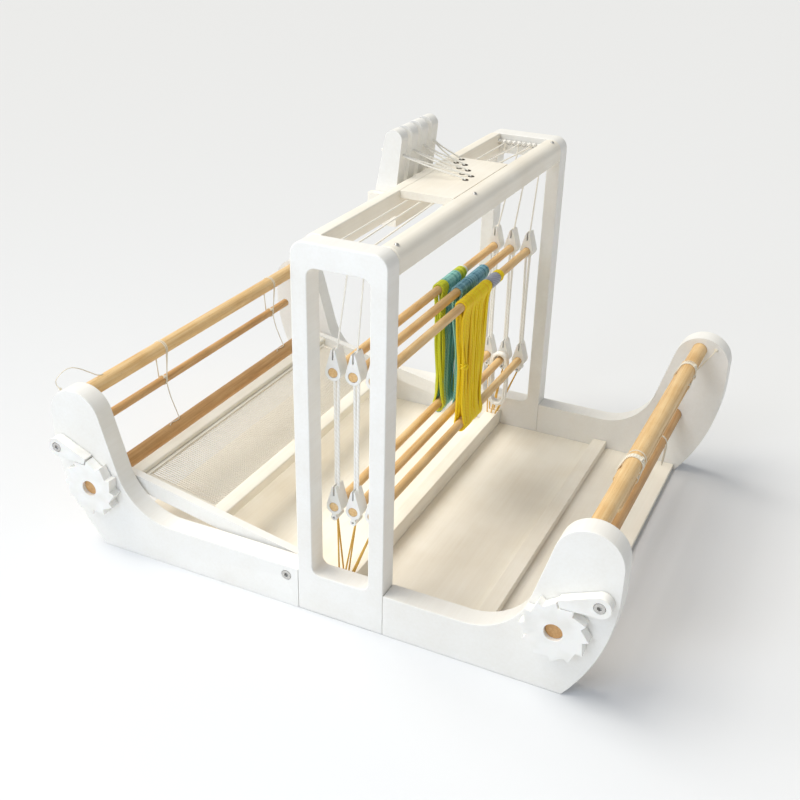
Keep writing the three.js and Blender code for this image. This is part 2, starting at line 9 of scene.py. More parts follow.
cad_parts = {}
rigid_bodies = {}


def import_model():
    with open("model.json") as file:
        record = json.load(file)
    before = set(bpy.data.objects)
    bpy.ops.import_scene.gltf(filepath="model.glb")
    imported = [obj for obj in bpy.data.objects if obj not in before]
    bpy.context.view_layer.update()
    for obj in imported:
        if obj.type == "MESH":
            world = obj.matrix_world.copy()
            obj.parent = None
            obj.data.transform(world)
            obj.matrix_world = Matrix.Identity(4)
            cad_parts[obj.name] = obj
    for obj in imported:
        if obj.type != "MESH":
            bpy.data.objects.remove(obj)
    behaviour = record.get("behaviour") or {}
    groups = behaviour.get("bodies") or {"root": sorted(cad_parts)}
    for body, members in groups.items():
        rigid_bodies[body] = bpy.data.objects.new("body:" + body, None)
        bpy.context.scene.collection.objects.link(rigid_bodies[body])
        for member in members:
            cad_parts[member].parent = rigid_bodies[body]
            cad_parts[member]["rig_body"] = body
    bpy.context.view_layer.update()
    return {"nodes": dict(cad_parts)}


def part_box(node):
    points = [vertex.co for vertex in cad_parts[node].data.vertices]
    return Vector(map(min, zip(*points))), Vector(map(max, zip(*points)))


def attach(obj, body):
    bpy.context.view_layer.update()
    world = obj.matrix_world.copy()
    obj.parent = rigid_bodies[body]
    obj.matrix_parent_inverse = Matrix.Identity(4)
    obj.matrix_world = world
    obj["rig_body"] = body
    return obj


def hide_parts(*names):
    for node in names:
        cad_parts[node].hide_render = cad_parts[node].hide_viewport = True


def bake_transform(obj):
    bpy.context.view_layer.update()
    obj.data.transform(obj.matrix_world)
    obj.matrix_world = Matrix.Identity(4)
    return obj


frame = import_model()
mm = 0.001

# ---- Camera ----
# It stands behind the loom on the ratchet side, a little over a metre away and well above it, and looks
# down towards the weaver's place with a slightly long lens.
camera_place = Vector((1.0326, 0.4725, 0.7233))
camera_forward = Vector((-0.8052, -0.3782, -0.4567)).normalized()
camera_right = camera_forward.cross(Vector((-0.4033, -0.2155, 0.8894))).normalized()
camera_up = camera_right.cross(camera_forward)
camera_lens = 48.465
camera = bpy.data.objects.new("camera", bpy.data.cameras.new("camera"))
camera.data.lens = camera_lens
camera.data.sensor_width = 36.0
camera_turn = Matrix((camera_right, camera_up, -camera_forward)).transposed().to_4x4()
camera.matrix_world = Matrix.Translation(camera_place) @ camera_turn
bpy.context.scene.collection.objects.link(camera)
bpy.context.scene.camera = camera

# ---- Strings on the beams, sticks and rollers ----
# Thin twisted cotton string, cut by hand and tied: it hangs the sticks from the beams, lashes the lease
# stick to the back beam, and leaves a few loose tails and loops.
string_radius = 0.6 * mm


def linear(colour):
    """An sRGB hex colour as linear red, green, blue and alpha."""
    parts = np.array([int(colour[i : i + 2], 16) for i in (1, 3, 5)]) / 255
    bent = np.where(parts <= 0.04045, parts / 12.92, ((parts + 0.055) / 1.055) ** 2.4)
    return (*bent.tolist(), 1.0)


def feed(tree, node, inputs):
    """Sets or links inputs of a shader node."""
    for key, value in inputs.items():
        if isinstance(value, bpy.types.NodeSocket):
            tree.links.new(value, node.inputs[key])
        else:
            node.inputs[key].default_value = value
    return node


def add_node(tree, kind, inputs, **settings):
    """Adds a shader node with its properties and inputs."""
    made = tree.nodes.new(kind)
    for key, value in settings.items():
        setattr(made, key, value)
    return feed(tree, made, inputs)


def plain_material(name, inputs):
    """A material whose surface shader has these inputs."""
    material = bpy.data.materials.new(name)
    material.use_nodes = True
    feed(material.node_tree, material.node_tree.nodes["Principled BSDF"], inputs)
    return material


def new_material(name):
    """A material to draw on: itself, its tree, its surface shader and its texture coordinates."""
    material = plain_material(name, {})
    tree = material.node_tree
    place = add_node(tree, "ShaderNodeTexCoord", {}).outputs
    return material, tree, tree.nodes["Principled BSDF"], place


def noise(tree, vector, size, detail=2.0, **inputs):
    """Noise from 0 to 1 whose spots are about size across."""
    facts = {"Vector": vector, "Scale": 1 / size, "Detail": detail, **inputs}
    return add_node(tree, "ShaderNodeTexNoise", facts).outputs["Fac"]


def drawn_out(tree, vector, scale):
    """Texture coordinates scaled by a number for each axis."""
    return add_node(tree, "ShaderNodeMapping", {"Vector": vector, "Scale": scale}).outputs["Vector"]


def mixed(tree, share, first, second):
    """Two values mixed, with this share of the second."""
    return add_node(tree, "ShaderNodeMix", {"Factor": share, "A": first, "B": second}).outputs["Result"]


def overlaid(tree, share, under, over):
    """Two colours mixed, with this share of the one laid over."""
    facts = {"Fac": share, "Color1": under, "Color2": over}
    return add_node(tree, "ShaderNodeMixRGB", facts).outputs["Color"]


def ranged(tree, value, start, end, to_start=0.0, to_end=1.0):
    """A value carried from one range to another and held at its ends."""
    facts = {"From Min": start, "From Max": end, "To Min": to_start, "To Max": to_end, "Value": value}
    return add_node(tree, "ShaderNodeMapRange", facts).outputs["Result"]


def bumped(tree, height, strength, depth):
    """The normal of a surface raised by height, from 0 to 1, times depth."""
    facts = {"Height": height, "Strength": strength, "Distance": depth}
    return add_node(tree, "ShaderNodeBump", facts).outputs["Normal"]


def colour_steps(tree, factor, steps):
    """A colour ramp from (place, hex colour) pairs, driven by factor."""
    ramp = add_node(tree, "ShaderNodeValToRGB", {"Fac": factor})
    elements = ramp.color_ramp.elements
    while len(elements) < len(steps):
        elements.new(0.5)
    for element, (place, colour) in zip(elements, steps):
        element.position = place
        element.color = linear(colour)
    return ramp.outputs["Color"]


def twisted_cord(name, light, dark, roughness=0.85, relief=0.5, top=None):
    """Three plies twisted together: slanting bands round and along the cord, with painted shade that
    darkens the grooves, a fine fuzz, and each strand a little lighter or darker than its neighbour. The
    cord's UV map runs once round it, and along it in diameters; the whole part of u is the strand's number.
    top gives a height and the light and dark colour that the cord is dyed above it."""
    material, tree, surface, place = new_material(name)
    one_band = 0.6283  # the wave texture's own period
    plies = 3
    slant = drawn_out(tree, place["UV"], (one_band * plies, 0.42, 1.0))
    bands = {"Vector": slant, "Scale": 1.0, "Distortion": 0.0}
    wave = add_node(tree, "ShaderNodeTexWave", bands, bands_direction="DIAGONAL").outputs["Fac"]
    height = mixed(tree, 0.35, wave, noise(tree, place["Object"], 1 / 900))
    u = add_node(tree, "ShaderNodeSeparateXYZ", {"Vector": place["UV"]}).outputs["X"]
    strand = add_node(tree, "ShaderNodeMath", {0: u}, operation="FLOOR").outputs["Value"]
    chance = add_node(tree, "ShaderNodeTexWhiteNoise", {"W": strand}, noise_dimensions="1D")
    # The colour follows the bands' height as well: painted shade, darker down in the grooves between the
    # plies.
    tone = mixed(tree, 0.5, height, chance.outputs["Value"])
    colour = colour_steps(tree, tone, [(0.2, dark), (0.7, light)])
    if top:
        level, top_light, top_dark = top
        z = add_node(tree, "ShaderNodeSeparateXYZ", {"Vector": place["Object"]}).outputs["Z"]
        above = ranged(tree, z, level - 2 * mm, level + 2 * mm)
        dyed = colour_steps(tree, tone, [(0.2, top_dark), (0.7, top_light)])
        colour = overlaid(tree, above, colour, dyed)
    normal = bumped(tree, height, relief, 0.25 * mm)
    feed(tree, surface, {"Base Color": colour, "Normal": normal, "Roughness": roughness})
    feed(tree, surface, {"Sheen Weight": 0.1})
    return material


def through(points, per_span=6):
    """A smooth curve through given points (Catmull-Rom): on each span a cubic whose slope at a
    point is half the step between that point's neighbours."""
    points = np.array(points, float)
    padded = np.vstack([2 * points[0] - points[1], points, 2 * points[-1] - points[-2]])
    t = np.linspace(0, 1, per_span, endpoint=False)[None, :, None]
    a, b, c, d = (padded[i : len(points) - 1 + i, None] for i in range(4))
    spans = 0.5 * (
        2 * b + (c - a) * t + (2 * a - 5 * b + 4 * c - d) * t**2 + (3 * b - a - 3 * c + d) * t**3
    )
    return np.vstack([spans.reshape(-1, 3), points[-1]])


def strands(paths, radius, sides=8, closed=False, side=(1, 0, 0)):
    """Round cords carried along paths (cords, points, 3): at each point a ring of vertices stands on two
    directions square to the path, the first square to side as well. Returns vertices, faces and UVs."""
    paths = np.array(paths, float)
    paths = paths[None] if paths.ndim == 2 else paths
    count, steps = paths.shape[:2]
    if closed:
        along = np.roll(paths, -1, 1) - np.roll(paths, 1, 1)
    else:
        along = np.gradient(paths, axis=1)
    along /= np.linalg.norm(along, axis=-1, keepdims=True)
    across = np.cross(along, np.broadcast_to(np.array(side, float), paths.shape))
    across /= np.linalg.norm(across, axis=-1, keepdims=True)
    over = np.cross(along, across)
    angle = np.arange(sides) * 2 * np.pi / sides
    size = np.broadcast_to(np.array(radius, float), (count, steps))[..., None, None]
    ring = across[:, :, None] * np.cos(angle)[:, None] + over[:, :, None] * np.sin(angle)[:, None]
    vertices = (paths[:, :, None] + size * ring).reshape(-1, 3)
    cord, step, turn = np.meshgrid(
        np.arange(count), np.arange(steps if closed else steps - 1), np.arange(sides), indexing="ij"
    )

    def at(i, j):
        return (cord * steps + i % steps) * sides + j % sides

    faces = np.stack(
        [at(step, turn), at(step, turn + 1), at(step + 1, turn + 1), at(step + 1, turn)], -1
    )
    lengths = np.linalg.norm(np.diff(paths, axis=1, append=paths[:, :1]), axis=-1)
    run = np.cumsum(lengths, 1) / (2 * size[:, :, 0, 0])
    run = np.concatenate([np.zeros((count, 1)), run], 1)
    u = cord[..., None] + np.stack([turn, turn + 1, turn + 1, turn], -1) / sides
    v = np.stack([run[cord, step], run[cord, step], run[cord, step + 1], run[cord, step + 1]], -1)
    ends = []
    if not closed:
        first = np.arange(count)[:, None] * steps * sides + np.arange(sides)[None, ::-1]
        last = (np.arange(count)[:, None] * steps + steps - 1) * sides + np.arange(sides)[None]
        ends = np.vstack([first, last]).tolist()
    return vertices, faces.reshape(-1, 4).tolist(), np.stack([u, v], -1).reshape(-1, 2), ends


def piece(name, parts, material, body):
    """One object from the vertices, faces and UVs of several parts, in place, riding on a body."""
    vertices, faces, ends, uvs, start = [], [], [], [], 0
    for points, quads, uv, caps in parts:
        vertices.append(points)
        faces += (np.array(quads) + start).tolist()
        ends += (np.array(caps) + start).astype(int).tolist() if len(caps) else []
        uvs.append(uv)
        start += len(points)
    mesh = bpy.data.meshes.new(name)
    mesh.from_pydata(np.vstack(vertices).tolist(), [], faces + ends)
    layer = mesh.uv_layers.new(name="along_cord")
    filled = np.zeros((len(mesh.loops), 2), np.float32)
    around = np.vstack(uvs)
    filled[: len(around)] = around
    layer.data.foreach_set("uv", filled.ravel())
    mesh.shade_smooth()
    mesh.materials.append(material)
    made = bpy.data.objects.new(name, mesh)
    bpy.context.scene.collection.objects.link(made)
    if body:
        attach(made, body)
    return made


def middle(node):
    """The centre of a node's box."""
    low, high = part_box(node)
    return np.array((low + high) / 2)


def wraps(centre, radius, turns, pitch, steps=26):
    """A helix round a bar that lies along X: the angle grows evenly while x grows by pitch a turn."""
    angle = np.linspace(0, 2 * np.pi * turns, int(steps * turns) + 1)
    x = centre[0] + pitch * (angle / (2 * np.pi) - turns / 2)
    return np.stack([x, centre[1] + radius * np.cos(angle), centre[2] + radius * np.sin(angle)], -1)


def knot(centre, size, cord_radius):
    """A tight overhand knot: a closed trefoil, three lobes wound twice round its middle."""
    t = np.linspace(0, 2 * np.pi, 42, endpoint=False)
    lobe = 2 + np.cos(3 * t)
    path = np.stack([lobe * np.cos(2 * t), lobe * np.sin(2 * t), 1.6 * np.sin(3 * t)], -1)
    path = np.array(centre) + path * size / 3
    return strands(path, cord_radius, 6, closed=True, side=path - np.array(centre))


dowel_radius = 9 * mm


def hanging_loop(bar, stick, stick_radius, lean):
    """A closed string over a beam and under a stick below it: half a circle round each, and straight legs.
    It slants along the loom by lean times its drop."""
    top = np.linspace(0, np.pi, 13)
    low = np.linspace(np.pi, 2 * np.pi, 9)
    r_top, r_low = dowel_radius + string_radius, stick_radius + string_radius
    over = np.stack([0 * top + bar[0], bar[1] + r_top * np.cos(top), bar[2] + r_top * np.sin(top)], -1)
    under = np.stack(
        [0 * low + stick[0], stick[1] + r_low * np.cos(low), stick[2] + r_low * np.sin(low)], -1
    )
    legs = np.linspace(0, 1, 7)[1:-1, None]
    down = over[-1] * (1 - legs) + under[0] * legs
    up = under[-1] * (1 - legs) + over[0] * legs
    path = np.vstack([over, down, under, up])
    path[:, 0] += lean * (bar[2] - path[:, 2])
    return strands(path, string_radius, 8, closed=True)


cotton = twisted_cord("cotton_string_twisted", "#FBF6E8", "#CDBE9E")
front_beam = middle("front_beam")
back_beam = middle("back_beam")
cloth_stick = middle("cloth_stick")
warp_stick = middle("warp_stick")
lease_stick = middle("lease_stick")
cloth_roller = middle("cloth_roller")
warp_roller = middle("warp_roller")
cloth_stick_radius = 5.25 * mm
warp_stick_radius = 3.5 * mm
lease_stick_radius = 4.5 * mm


def at_x(centre, x):
    """The same place across the loom, moved to x."""
    return np.array([x, centre[1], centre[2]])


# Two hanging strings hold the cloth stick, each a pair of loops with a knot at the stick.
front_string_x = (79 * mm, -168 * mm)
loop_spacing = np.array([1.2 * mm, 0, 0])
for number, x in enumerate(front_string_x, 1):
    beam, stick = at_x(front_beam, x), at_x(cloth_stick, x)
    parts = [
        hanging_loop(beam - loop_spacing, stick, cloth_stick_radius, 0.02),
        hanging_loop(beam + loop_spacing, stick, cloth_stick_radius, -0.01),
        strands(wraps(stick, cloth_stick_radius + string_radius, 2, 1.6 * mm), string_radius),
        knot(stick + [0, 3.6 * mm, 4.6 * mm], 2.2 * mm, 0.8 * mm),
    ]
    piece(f"front_stick_string_{number}", parts, cotton, "cloth_stick")

# A loose tail runs from each knot down to the cloth roller and lies along its top.
tail_from_stick = np.array([(0, 4.5, 3), (0.5, 6.5, -6), (2, 11, -19)]) * mm
tail_on_roller = np.array(
    [(4, -8, 19), (6, -3, 11.5), (9, 0.5, 10), (15, 1.5, 9.8), (23, -0.5, 9.9), (30, 2.5, 9.5)]
)
for number, x in enumerate(front_string_x, 1):
    on_roller = at_x(cloth_roller, x) + tail_on_roller * mm
    tail = through(np.vstack([at_x(cloth_stick, x) + tail_from_stick, on_roller]))
    made = piece(
        f"front_string_tail_{number}", [strands(tail, string_radius)], cotton, None
    )
    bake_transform(made)

# A loose end is led over the top of the near front horn and knotted at its edge.
horn_inner_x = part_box("front_near_cheek")[0].x
horn_way = np.array(
    [
        (-36, 0, 9.6), (-29, -2, 11), (-18, -4, 19), (-7, -6, 27), (3, -8.5, 32), (10, -12, 31),
        (15, -16, 26), (17, -20, 19.5), (16.5, -20, 13.5), (15, -17.5, 8.8),
    ]
)
horn_loop = through(np.array([horn_inner_x, front_beam[1], front_beam[2]]) + horn_way * mm)
horn_string = [strands(horn_loop, string_radius)]
made = piece("front_horn_string", horn_string, cotton, "loom")
piece(
            "front_horn_knot",
            [knot(horn_loop[-1] + [0, 0, 0.2 * mm], 1.6 * mm, 0.6 * mm)],
            cotton, "loom",
        )

# Two lashings hold the lease stick against the back beam: three turns round both.
lashing_x = (82 * mm, -166 * mm)
lashing_radius = (1.0 * mm, 0.8 * mm)
to_stick = lease_stick - back_beam
to_stick[0] = 0
reach = np.linalg.norm(to_stick)
way = to_stick / reach
square = np.array([0, -way[2], way[1]])


def part_round(centre, radius, angles):
    """Points round a bar, with angle 0 from the beam towards the stick."""
    return centre + radius * (np.cos(angles)[:, None] * way + np.sin(angles)[:, None] * square)


for number, (x, radius) in enumerate(zip(lashing_x, lashing_radius), 1):
    r_beam, r_stick = dowel_radius + radius, lease_stick_radius + radius
    tilt = np.arcsin((r_beam - r_stick) / reach)
    big = np.linspace(np.pi / 2 - tilt, 3 * np.pi / 2 + tilt, 22)
    small = np.linspace(-np.pi / 2 + tilt, np.pi / 2 - tilt, 9)
    turns = []
    for turn in (-1, 0, 1):
        beam = at_x(back_beam, x + turn * 2.1 * radius)
        path = np.vstack([part_round(beam, r_beam, big), part_round(beam + to_stick, r_stick, small)])
        turns.append(strands(path, radius, 8, closed=True))
    turns.append(knot(at_x(back_beam, x) + [0, 7.2 * mm, 7.6 * mm], 2.6 * radius, 0.9 * radius))
    piece(f"lease_stick_lashing_{number}", turns, cotton, "loom")

# Two more strings hang the warp stick under the back beam.
warp_string_x = (70 * mm, -172 * mm)
for number, x in enumerate(warp_string_x, 1):
    beam, stick = at_x(back_beam, x), at_x(warp_stick, x)
    parts = [
        hanging_loop(beam, stick, warp_stick_radius, 0.01),
        knot(stick + [0, 2.8 * mm, 4.4 * mm], 2.0 * mm, 0.7 * mm),
    ]
    piece(f"warp_stick_string_{number}", parts, cotton, "warp_stick")

# A short string ties the warp stick's far end to a knot in the far rear cheek.
stick_end = np.array([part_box("warp_stick")[0].x, warp_stick[1], warp_stick[2]])
cheek_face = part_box("rear_far_cheek")[1].x
tie_way = np.array([(3, 0, 4.2), (-1, 2.2, 5.4), (-6, 6, 9), (-12, 11, 15.5), (-18, 16, 22.5)]) * mm
tie_end = np.array([cheek_face + 1.6 * mm, stick_end[1] + 20 * mm, stick_end[2] + 29 * mm])
tie = through(np.vstack([stick_end + tie_way, tie_end]))
made = piece("warp_stick_tie", [strands(tie, string_radius)], cotton, None)
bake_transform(made)
piece(
    "warp_stick_tie_knots",
    [knot(tie[-1] + [-0.4 * mm, 0, 0], 2.2 * mm, 0.8 * mm)],
    cotton, "loom",
)
end_wrap = stick_end + [4 * mm, 0, 0]
piece(
    "warp_stick_end_wrap",
    [strands(wraps(end_wrap, warp_stick_radius + string_radius, 3, 1.4 * mm), string_radius)],
    cotton, "warp_stick",
)

# Two turns of string stay on the warp roller, with a small loop that hangs from it.
roller_turn = at_x(warp_roller, -150 * mm)
piece(
    "warp_roller_string",
    [strands(wraps(roller_turn, dowel_radius + string_radius, 2, 1.5 * mm), string_radius)],
    cotton, "warp_roller",
)
drop_way = np.array(
    [
        (1, 9.8, 2), (2, 10.4, -4), (3, 10, -12), (4.5, 9.4, -21), (8, 9, -26), (11.5, 9.2, -21),
        (12, 9.8, -12), (10, 10.3, -3), (7, 9.7, 2.5),
    ]
)
drop = through(roller_turn + drop_way * mm)
loop = [strands(drop, string_radius)]
made = piece("warp_roller_string_loop", loop, cotton, "warp_roller")

# ---- White boards ----
# The castle's side frames and the cheeks are sawn from 24 mm birch ply, with edges eased by sandpaper and
# two coats of satin white acrylic rolled on, which leaves a faint stipple.


def rolled_paint(name, light, dark):
    """Satin paint: a slow drift of tone over 80 mm, faint long streaks of raised grain every 3 mm, and the
    roller's stipple, drawn 1.5 mm coarse so that it shows."""
    material, tree, surface, place = new_material(name)
    drift = noise(tree, place["Object"], 80 * mm, 3.0, Roughness=0.5)
    streaks = drawn_out(tree, place["Object"], (1 / 0.09, 1 / 0.003, 1 / 0.003))
    grain = noise(tree, streaks, 1.0)
    stipple = noise(tree, place["Object"], 1.5 * mm)
    colour = colour_steps(tree, mixed(tree, 0.25, drift, grain), [(0.3, dark), (0.62, light)])
    normal = bumped(tree, mixed(tree, 0.6, grain, stipple), 0.08, 0.3 * mm)
    roughness = ranged(tree, drift, 0.0, 1.0, 0.42, 0.56)
    feed(tree, surface, {"Base Color": colour, "Normal": normal, "Roughness": roughness})
    return material


def eased(node, material, edge, segments=3):
    """A copy of a node's own surface with its loose triangles merged, its flat faces made whole and every
    sharp edge rounded by edge, shaded smooth except across what is still sharp."""
    sharp = np.radians(32)
    source = frame["nodes"][node]
    mesh = source.data.copy()
    mesh.name = node + "_finished"
    work = bmesh.new()
    work.from_mesh(mesh)
    bmesh.ops.remove_doubles(work, verts=work.verts, dist=2e-6)
    bmesh.ops.dissolve_limit(work, angle_limit=np.radians(0.5), verts=work.verts, edges=work.edges)
    work.to_mesh(mesh)
    work.free()
    mesh.materials.clear()
    mesh.materials.append(material)
    mesh.shade_smooth()
    mesh.set_sharp_from_angle(angle=sharp)
    made = bpy.data.objects.new(node + "_finished", mesh)
    bpy.context.scene.collection.objects.link(made)
    soften = made.modifiers.new("eased edges", "BEVEL")
    soften.width = edge
    soften.segments = segments
    soften.limit_method = "ANGLE"
    soften.angle_limit = sharp
    soften.harden_normals = True
    soften.miter_outer = "MITER_ARC"
    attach(made, source["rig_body"])
    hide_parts(node)
    return made


board_paint = rolled_paint("satin_acrylic_rolled_on_birch_ply", "#F6F5F1", "#EEEBE4")
board_edge = 1.2 * mm
for node in (
    "near_castle_frame", "far_castle_frame", "front_near_cheek", "front_far_cheek", "rear_near_cheek",
    "rear_far_cheek",
):
    eased(node, board_paint, board_edge)

# ---- Rails, floor board and battens ----
# Straight strips of pine and a thin floor board between the side boards, in the same satin paint put on
# with a brush. They are glued, and screwed from above.
strip_paint = rolled_paint("satin_acrylic_brushed_on_pine_strip", "#FBF6EA", "#F0E8D8")
strip_edges = {
    "front_top_rail": 1.5, "rear_top_rail": 1.5, "cord_plate": 0.5, "foot_rail": 0.8, "base_board": 0.4,
    "rear_batten": 0.7, "lever_rack": 0.7,
}
for node, edge in strip_edges.items():
    eased(node, strip_paint, edge * mm)

# ---- Steel screws, bolts and axle ----
# Zinc-plated steel with a satin shine, dark only inside the sockets. The bolts carry the pawls and the
# beater, the axle carries the levers, and small screws hold the rear rail.
screw_radius = 2.4 * mm


def turned_steel(name, light, dark, metallic=1.0):
    """Plated or drawn metal: fine noise 0.4 mm across in its tone and roughness."""
    material, tree, surface, place = new_material(name)
    marks = noise(tree, place["Object"], 0.4 * mm)
    colour = colour_steps(tree, marks, [(0.3, dark), (0.7, light)])
    roughness = ranged(tree, marks, 0.0, 1.0, 0.25, 0.45)
    feed(tree, surface, {"Base Color": colour, "Roughness": roughness, "Metallic": metallic})
    return material


zinc = turned_steel("zinc_plated_turned_steel", "#E4E2DE", "#A9A7A3")
for node in ("front_pawl_bolt", "rear_pawl_bolt", "near_beater_bolt", "far_beater_bolt"):
    eased(node, zinc, 0.3 * mm, 2)
eased("lever_axle", zinc, 0.4 * mm, 2)


def screw_head(place, outwards):
    """A pan-head screw: its profile is turned round the direction it faces, from just inside the wood to
    a low dome with a small round recess in its middle."""
    sides = 20
    out = np.array(outwards, float)
    out /= np.linalg.norm(out)
    heights = np.array([-0.8, 0.5, 1.0, 1.35, 1.5, 1.5, 0.7, 0.6]) * mm
    shares = np.array([1.0, 1.0, 0.86, 0.62, 0.38, 0.34, 0.28, 0.1])
    apart = np.arange(len(heights)) * 1e-6
    path = np.array(place) + (heights + apart)[:, None] * out
    points, faces, uv, ends = strands(path, screw_radius, sides)
    centre = np.repeat(path, sides, axis=0)
    points = centre + (points - centre) * np.repeat(shares, sides)[:, None]
    return points, faces, uv, ends


rail_low, rail_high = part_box("rear_top_rail")
rail_round = 12 * mm
screw_tilt = np.radians(72)
screw_out = np.array([0, np.cos(screw_tilt), np.sin(screw_tilt)])
round_centre = np.array([0, rail_high.y - rail_round, rail_high.z - rail_round])
rear_screws = [
    screw_head(at_x(round_centre + rail_round * screw_out, x), screw_out)
    for x in (rail_high.x - 10 * mm, 27 * mm, rail_low.x + 12 * mm)
]
piece("top_rail_screws", rear_screws, zinc, "loom")

# ---- Beams, rollers and shaft rods ----
# Plain sanded beech dowel, oiled: straight grain along its length with short darker rays. The beams are
# fixed in the cheeks, the rollers turn in them, and the rods sit in their holders.


def straight_grain(name, steps, roughness=0.5):
    """Dowel wood: growth lines about 2.4 mm apart and 30 times as long, over a slow drift of tone, with
    short dark rays 4 mm long."""
    material, tree, surface, place = new_material(name)
    along_grain = drawn_out(tree, place["Object"], (1 / 0.075, 1 / 0.0024, 1 / 0.0024))
    growth = noise(tree, along_grain, 1.0, 3.0, Distortion=0.4)
    tone = mixed(tree, 0.45, growth, noise(tree, place["Object"], 45 * mm))
    flecks = drawn_out(tree, place["Object"], (1 / 0.004, 1 / 0.0008, 1 / 0.0008))
    rays = ranged(tree, noise(tree, flecks, 1.0, 1.0), 0.62, 0.74, 0.0, 0.22)
    colour = overlaid(tree, rays, colour_steps(tree, tone, steps), linear("#8F5F2C"))
    normal = bumped(tree, growth, 0.15, 0.2 * mm)
    feed(tree, surface, {"Base Color": colour, "Normal": normal, "Roughness": roughness})
    return material


def dowel(node, radius, material, chamfer=0.8 * mm):
    """A round bar along X in the place of a node: circles whose radius steps in at both ends, as where
    sandpaper has broken the edge."""
    sides = 40
    rings = 14
    low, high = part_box(node)
    inset = np.array([0.0, 0.35, 1.0]) * chamfer
    step_in = np.array([1.0, 0.35, 0.0]) ** 2 * chamfer
    x = np.concatenate([low.x + inset, np.linspace(low.x, high.x, rings)[1:-1], high.x - inset[::-1]])
    size = np.full(len(x), radius)
    size[:3] -= step_in
    size[-3:] -= step_in[::-1]
    centre = middle(node)
    path = np.stack([x, 0 * x + centre[1], 0 * x + centre[2]], -1)
    points, faces, uv, ends = strands(path, radius, sides, side=(0, 0, 1))
    axis = np.repeat(path, sides, axis=0)
    points = axis + (points - axis) * np.repeat(size / radius, sides)[:, None]
    made = piece(node + "_dowel", [(points, faces, uv, ends)], material, None)
    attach(made, frame["nodes"][node]["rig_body"])
    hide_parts(node)
    made.data.set_sharp_from_angle(angle=np.radians(35))
    return made


beech = straight_grain("oiled_beech_dowel", [(0.3, "#D2A468"), (0.5, "#E6C087"), (0.68, "#F2D3A0")])
for node in ("front_beam", "back_beam"):
    dowel(node, dowel_radius, beech)
steamed_beech = straight_grain(
    "oiled_steamed_beech_roller", [(0.3, "#BC8C54"), (0.5, "#CDA06A"), (0.68, "#DDB680")]
)
for node in ("cloth_roller", "warp_roller"):
    dowel(node, dowel_radius, steamed_beech)
shaft_rod_radius = 5 * mm
shafts = ("shaft_1", "shaft_2", "shaft_3")
for shaft in shafts:
    for rod in ("upper_rod", "lower_rod"):
        dowel(f"{shaft}_{rod}", shaft_rod_radius, beech)

# ---- Sticks ----
# Thinner sticks: the cloth stick of a browner wood, the warp stick and the lease stick of beech. They hang
# from the beams or are lashed to them, and the warp is tied to them.
brown_wood = straight_grain(
    "oiled_brown_hardwood_stick", [(0.3, "#B88A55"), (0.5, "#CFA36C"), (0.7, "#DFB884")], 0.55
)
dowel("cloth_stick", cloth_stick_radius, brown_wood, chamfer=0.5 * mm)
dowel("warp_stick", warp_stick_radius, beech, chamfer=0.5 * mm)
dowel("lease_stick", lease_stick_radius, beech, chamfer=0.5 * mm)

# ---- Ratchets, pawls and shaft holders ----
# Moulded white nylon: even colour, a soft satin skin with a very fine grain, slightly rounded edges. The
# ratchets are pressed on the rollers' ends, and the holders on the rods' ends.


def moulded_nylon(name, colour, shade):
    """Moulded plastic: one colour with a faint drift, a grain 0.6 mm across and a little light let in."""
    material, tree, surface, place = new_material(name)
    tone = colour_steps(tree, noise(tree, place["Object"], 20 * mm), [(0.3, shade), (0.6, colour)])
    normal = bumped(tree, noise(tree, place["Object"], 0.6 * mm, 1.0), 0.08, 0.1 * mm)
    feed(tree, surface, {"Base Color": tone, "Normal": normal, "Roughness": 0.4})
    feed(tree, surface, {"Subsurface Weight": 0.1, "Subsurface Radius": (0.004, 0.003, 0.002)})
    return material


nylon = moulded_nylon("moulded_white_nylon", "#F7F6F2", "#EEECE6")
for node in ("cloth_ratchet", "warp_ratchet", "front_pawl", "rear_pawl"):
    eased(node, nylon, 0.6 * mm)
holders = [f"{side}_{level}_holder" for side in ("near", "far") for level in ("upper", "lower")]
for shaft in shafts:
    for holder in holders:
        eased(f"{shaft}_{holder}", nylon, 0.5 * mm, 2)

# ---- Levers ----
# Painted blades on one steel axle in the rack's slots, rounded over more than the boards because they are
# held in the hand.
for number in range(1, 5):
    eased(f"lever_{number}", board_paint, 2.0 * mm, 4)

# ---- Beater and reed ----
# Two painted arms and two painted rails hold the reed, a comb of flat polished steel wires whose ends are
# held between painted strips. The arms turn on the beater bolts.
for node in ("beater_near_arm", "beater_far_arm"):
    eased(node, board_paint, 1.2 * mm)
for node in ("beater_top_rail", "beater_bottom_rail"):
    eased(node, strip_paint, 1.0 * mm)

reed_wire_pitch = 3.4 * mm  # real dents are 2 mm apart, drawn coarser so that single wires show
reed_wire_width = 1.0 * mm
reed_wire_depth = 1.4 * mm
reed_band = 4.0 * mm
reed_tilt = np.radians(10.6)
reed_down = np.array([0, -np.cos(reed_tilt), np.sin(reed_tilt)])
reed_out = np.array([0, np.sin(reed_tilt), np.cos(reed_tilt)])


def bar_between(start, end, width, depth, across, out):
    """A flat bar with broken corners from start to end: an eight-sided section width by depth, whose two
    directions are across and out."""
    full, near = 1.0, 0.82  # the corner is cut off between near and full
    ring = np.array([(full, near), (near, full), (-near, full), (-full, near)])
    ring = np.vstack([ring, -ring])
    section = ring[:, :1] * across * width / 2 + ring[:, 1:] * out * depth / 2
    path = np.stack([start, end])
    points = (path[:, None] + section[None]).reshape(-1, 3)
    j = np.arange(8)
    faces = np.stack([j, (j + 1) % 8, (j + 1) % 8 + 8, j + 8], -1)
    ends = [j[::-1].tolist(), (j + 8).tolist()]
    if np.dot(np.cross(across, out), end - start) < 0:
        faces = faces[:, ::-1]
        ends = [e[::-1] for e in ends]
    return points, faces.tolist(), np.zeros((32, 2)), ends


